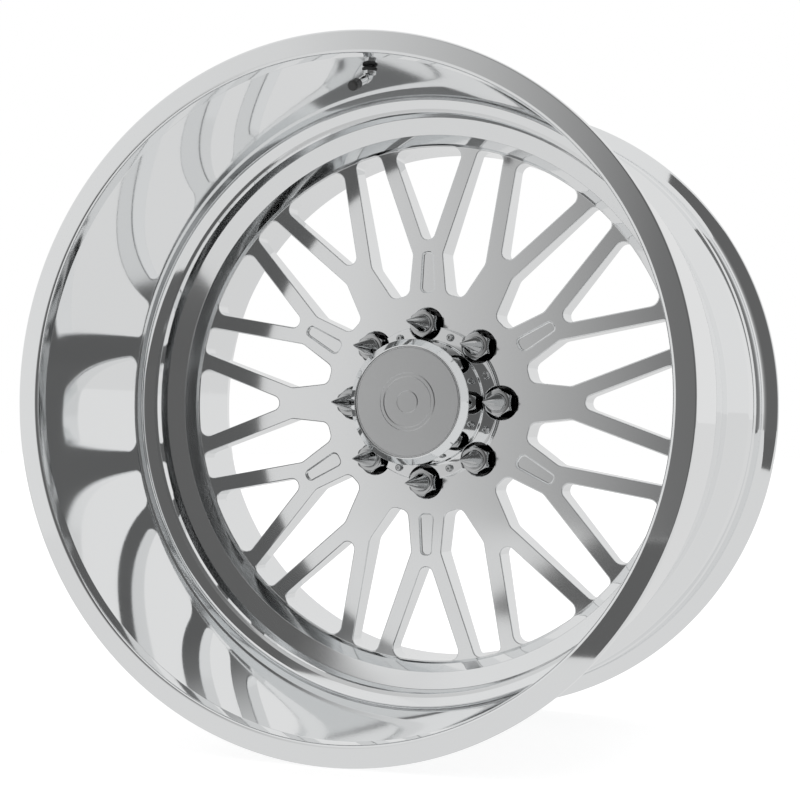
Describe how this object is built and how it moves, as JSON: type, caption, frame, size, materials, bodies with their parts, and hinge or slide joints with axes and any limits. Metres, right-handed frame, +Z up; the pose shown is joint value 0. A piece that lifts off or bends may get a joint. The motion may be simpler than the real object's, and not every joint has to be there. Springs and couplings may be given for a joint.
{
  "type": "forged racing wheel rim",
  "caption": "Deep-dish forged two-piece wheel rim with Y spokes, a screwed centre cap, spiked lug nuts and an angled tyre valve.",
  "frame": {"origin": "Centre of the wheel, on its axle line and midway between the outer faces of the two flanges", "axes": "+Y is the axle line and points towards the vehicle, so the street face looks along -Y; +Z is up, with the tyre valve near the top; +X is right as seen from the street"},
  "size_m": [0.6954, 0.425, 0.6954],
  "materials": {
    "polished_barrel": "mirror polished forged aluminium",
    "polished_centre": "polished forged aluminium with faint milling marks",
    "polished_cap": "mirror polished turned aluminium",
    "satin_insert": "satin brushed aluminium",
    "dark_chrome": "dark chrome",
    "screw_steel": "zinc plated steel",
    "nickel_brass": "nickel plated brass",
    "black_rubber": "black rubber",
    "black_plastic": "black plastic"
  },
  "bodies": {
    "wheel": {"rim_barrel": "polished_barrel", "forged_centre": "polished_centre", "centre_cap": "polished_cap", "cap_insert": "satin_insert", "cap_screw_1": "screw_steel", "cap_screw_2": "screw_steel", "cap_screw_3": "screw_steel", "cap_screw_4": "screw_steel", "cap_screw_5": "screw_steel", "cap_screw_6": "screw_steel", "cap_screw_7": "screw_steel", "cap_screw_8": "screw_steel", "valve_stem": "nickel_brass", "valve_grommet": "black_rubber", "valve_washer": "black_rubber", "valve_nut": "nickel_brass", "valve_core": "nickel_brass"},
    "seat_washer_1": {"lug_seat_washer_1": "dark_chrome"},
    "nut_1": {"lug_nut_1": "dark_chrome"},
    "seat_washer_2": {"lug_seat_washer_2": "dark_chrome"},
    "nut_2": {"lug_nut_2": "dark_chrome"},
    "seat_washer_3": {"lug_seat_washer_3": "dark_chrome"},
    "nut_3": {"lug_nut_3": "dark_chrome"},
    "seat_washer_4": {"lug_seat_washer_4": "dark_chrome"},
    "nut_4": {"lug_nut_4": "dark_chrome"},
    "seat_washer_5": {"lug_seat_washer_5": "dark_chrome"},
    "nut_5": {"lug_nut_5": "dark_chrome"},
    "seat_washer_6": {"lug_seat_washer_6": "dark_chrome"},
    "nut_6": {"lug_nut_6": "dark_chrome"},
    "seat_washer_7": {"lug_seat_washer_7": "dark_chrome"},
    "nut_7": {"lug_nut_7": "dark_chrome"},
    "seat_washer_8": {"lug_seat_washer_8": "dark_chrome"},
    "nut_8": {"lug_nut_8": "dark_chrome"},
    "valve_pin": {"valve_pin": "nickel_brass"},
    "valve_cap_seal": {"valve_cap_seal": "black_rubber"},
    "valve_cap": {"valve_cap": "black_plastic"}
  },
  "joints": [
    {"name": "lug_1_back_off", "type": "slide", "parent": "wheel", "child": "seat_washer_1", "axis": [0, -1, 0], "range_m": [0, 0.021]},
    {"name": "lug_1_unscrew", "type": "hinge", "parent": "seat_washer_1", "child": "nut_1", "pos_m": [0, 0.0375, 0.085], "axis": [0, -1, 0], "range_deg": [0, 5041]},
    {"name": "lug_2_back_off", "type": "slide", "parent": "wheel", "child": "seat_washer_2", "axis": [0, -1, 0], "range_m": [0, 0.021]},
    {"name": "lug_2_unscrew", "type": "hinge", "parent": "seat_washer_2", "child": "nut_2", "pos_m": [0.0601, 0.0375, 0.0601], "axis": [0, -1, 0], "range_deg": [0, 5041]},
    {"name": "lug_3_back_off", "type": "slide", "parent": "wheel", "child": "seat_washer_3", "axis": [0, -1, 0], "range_m": [0, 0.021]},
    {"name": "lug_3_unscrew", "type": "hinge", "parent": "seat_washer_3", "child": "nut_3", "pos_m": [0.085, 0.0375, 0], "axis": [0, -1, 0], "range_deg": [0, 5041]},
    {"name": "lug_4_back_off", "type": "slide", "parent": "wheel", "child": "seat_washer_4", "axis": [0, -1, 0], "range_m": [0, 0.021]},
    {"name": "lug_4_unscrew", "type": "hinge", "parent": "seat_washer_4", "child": "nut_4", "pos_m": [0.0601, 0.0375, -0.0601], "axis": [0, -1, 0], "range_deg": [0, 5041]},
    {"name": "lug_5_back_off", "type": "slide", "parent": "wheel", "child": "seat_washer_5", "axis": [0, -1, 0], "range_m": [0, 0.021]},
    {"name": "lug_5_unscrew", "type": "hinge", "parent": "seat_washer_5", "child": "nut_5", "pos_m": [0, 0.0375, -0.085], "axis": [0, -1, 0], "range_deg": [0, 5041]},
    {"name": "lug_6_back_off", "type": "slide", "parent": "wheel", "child": "seat_washer_6", "axis": [0, -1, 0], "range_m": [0, 0.021]},
    {"name": "lug_6_unscrew", "type": "hinge", "parent": "seat_washer_6", "child": "nut_6", "pos_m": [-0.0601, 0.0375, -0.0601], "axis": [0, -1, 0], "range_deg": [0, 5041]},
    {"name": "lug_7_back_off", "type": "slide", "parent": "wheel", "child": "seat_washer_7", "axis": [0, -1, 0], "range_m": [0, 0.021]},
    {"name": "lug_7_unscrew", "type": "hinge", "parent": "seat_washer_7", "child": "nut_7", "pos_m": [-0.085, 0.0375, 0], "axis": [0, -1, 0], "range_deg": [0, 5041]},
    {"name": "lug_8_back_off", "type": "slide", "parent": "wheel", "child": "seat_washer_8", "axis": [0, -1, 0], "range_m": [0, 0.021]},
    {"name": "lug_8_unscrew", "type": "hinge", "parent": "seat_washer_8", "child": "nut_8", "pos_m": [-0.0601, 0.0375, 0.0601], "axis": [0, -1, 0], "range_deg": [0, 5041]},
    {"name": "valve_pin_press", "type": "slide", "parent": "wheel", "child": "valve_pin", "axis": [0.0157, 0.9272, 0.3743], "range_m": [0, 0.0012], "stiffness_N_per_m": 600},
    {"name": "valve_cap_back_off", "type": "slide", "parent": "wheel", "child": "valve_cap_seal", "axis": [-0.0157, -0.9272, -0.3743], "range_m": [0, 0.00953]},
    {"name": "valve_cap_unscrew", "type": "hinge", "parent": "valve_cap_seal", "child": "valve_cap", "pos_m": [0.0125, -0.19359, 0.2982], "axis": [-0.0157, -0.9272, -0.3743], "range_deg": [0, 4322]}
  ],
  "couplings": [
    {"joint": "lug_1_unscrew", "follows": "lug_1_back_off", "rad_per_m": 4188.8},
    {"joint": "lug_2_unscrew", "follows": "lug_2_back_off", "rad_per_m": 4188.8},
    {"joint": "lug_3_unscrew", "follows": "lug_3_back_off", "rad_per_m": 4188.8},
    {"joint": "lug_4_unscrew", "follows": "lug_4_back_off", "rad_per_m": 4188.8},
    {"joint": "lug_5_unscrew", "follows": "lug_5_back_off", "rad_per_m": 4188.8},
    {"joint": "lug_6_unscrew", "follows": "lug_6_back_off", "rad_per_m": 4188.8},
    {"joint": "lug_7_unscrew", "follows": "lug_7_back_off", "rad_per_m": 4188.8},
    {"joint": "lug_8_unscrew", "follows": "lug_8_back_off", "rad_per_m": 4188.8},
    {"joint": "valve_cap_unscrew", "follows": "valve_cap_back_off", "rad_per_m": 7913.3}
  ]
}
